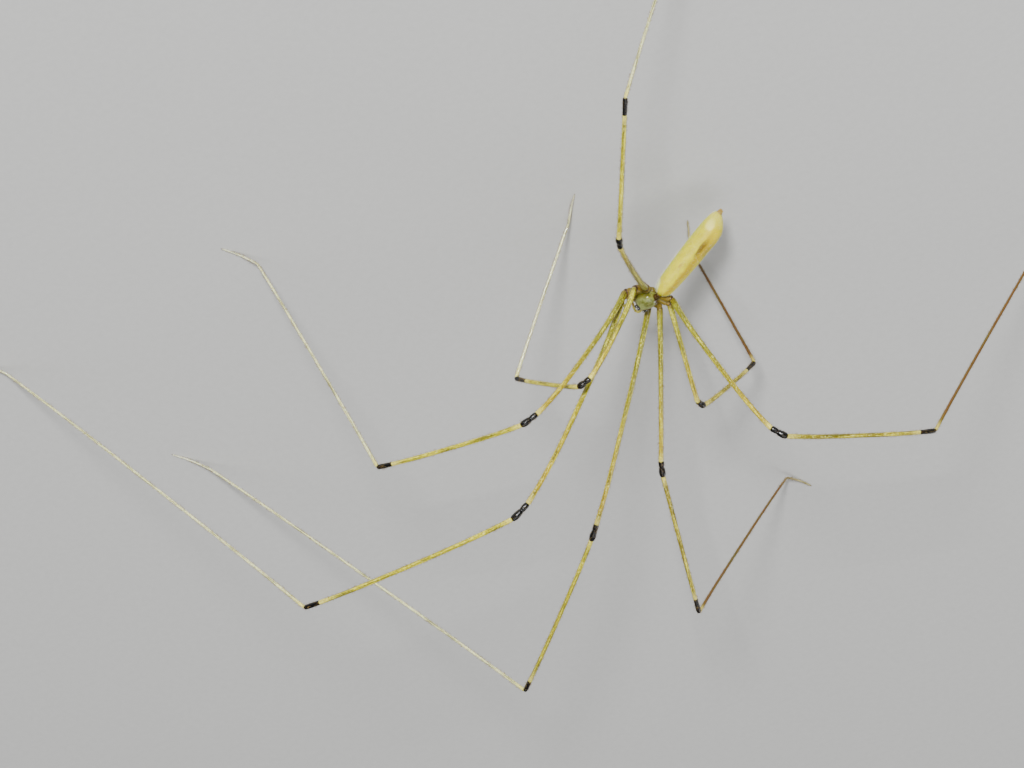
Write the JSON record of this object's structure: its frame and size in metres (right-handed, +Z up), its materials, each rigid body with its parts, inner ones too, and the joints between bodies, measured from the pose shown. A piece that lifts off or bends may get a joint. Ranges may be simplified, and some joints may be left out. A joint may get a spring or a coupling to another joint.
{
  "type": "cellar spider",
  "caption": "Life-size still model of a long-legged cellar spider with a slender hanging abdomen, standing on the tips of its legs.",
  "frame": {"origin": "on the floor, under the middle of the box that the whole animal fills", "axes": "+X is the way the spider faces and the longest extent, +Z is up, +Y is its left side"},
  "size_m": [0.0584, 0.0502, 0.0171],
  "materials": {
    "carapace": "satin translucent grey-green cuticle",
    "eye": "glossy black lenses and pigment",
    "mouthparts": "satin yellow-brown cuticle",
    "sternum": "satin golden brown cuticle",
    "abdomen": "satin translucent yellow-olive skin",
    "spinnerets": "satin brown cuticle",
    "upper_leg": "satin golden olive cuticle",
    "leg_joint": "glossy black cuticle",
    "lower_leg": "satin pale straw cuticle"
  },
  "bodies": {
    "root": {"carapace": "carapace", "eyes_left": "eye", "eyes_right": "eye", "eyes_middle": "eye", "chelicera_left": "mouthparts", "chelicera_right": "mouthparts", "palp_left": "mouthparts", "palp_right": "mouthparts", "sternum": "sternum", "pedicel": "carapace", "abdomen": "abdomen", "spinnerets": "spinnerets", "right_1_femur": "upper_leg", "right_1_patella": "leg_joint", "right_1_tibia": "upper_leg", "right_1_metatarsus": "lower_leg", "right_1_tarsus": "lower_leg", "right_2_femur": "upper_leg", "right_2_patella": "leg_joint", "right_2_tibia": "upper_leg", "right_2_metatarsus": "lower_leg", "right_2_tarsus": "lower_leg", "right_3_femur": "upper_leg", "right_3_patella": "leg_joint", "right_3_tibia": "upper_leg", "right_3_metatarsus": "lower_leg", "right_3_tarsus": "lower_leg", "right_4_femur": "upper_leg", "right_4_patella": "leg_joint", "right_4_tibia": "upper_leg", "right_4_metatarsus": "lower_leg", "right_4_tarsus": "lower_leg", "left_1_femur": "upper_leg", "left_1_patella": "leg_joint", "left_1_tibia": "upper_leg", "left_1_metatarsus": "lower_leg", "left_1_tarsus": "lower_leg", "left_2_femur": "upper_leg", "left_2_patella": "leg_joint", "left_2_tibia": "upper_leg", "left_2_metatarsus": "lower_leg", "left_2_tarsus": "lower_leg", "left_3_femur": "upper_leg", "left_3_patella": "leg_joint", "left_3_tibia": "upper_leg", "left_3_metatarsus": "lower_leg", "left_3_tarsus": "lower_leg", "left_4_femur": "upper_leg", "left_4_patella": "leg_joint", "left_4_tibia": "upper_leg", "left_4_metatarsus": "lower_leg", "left_4_tarsus": "lower_leg"}
  },
  "joints": []
}
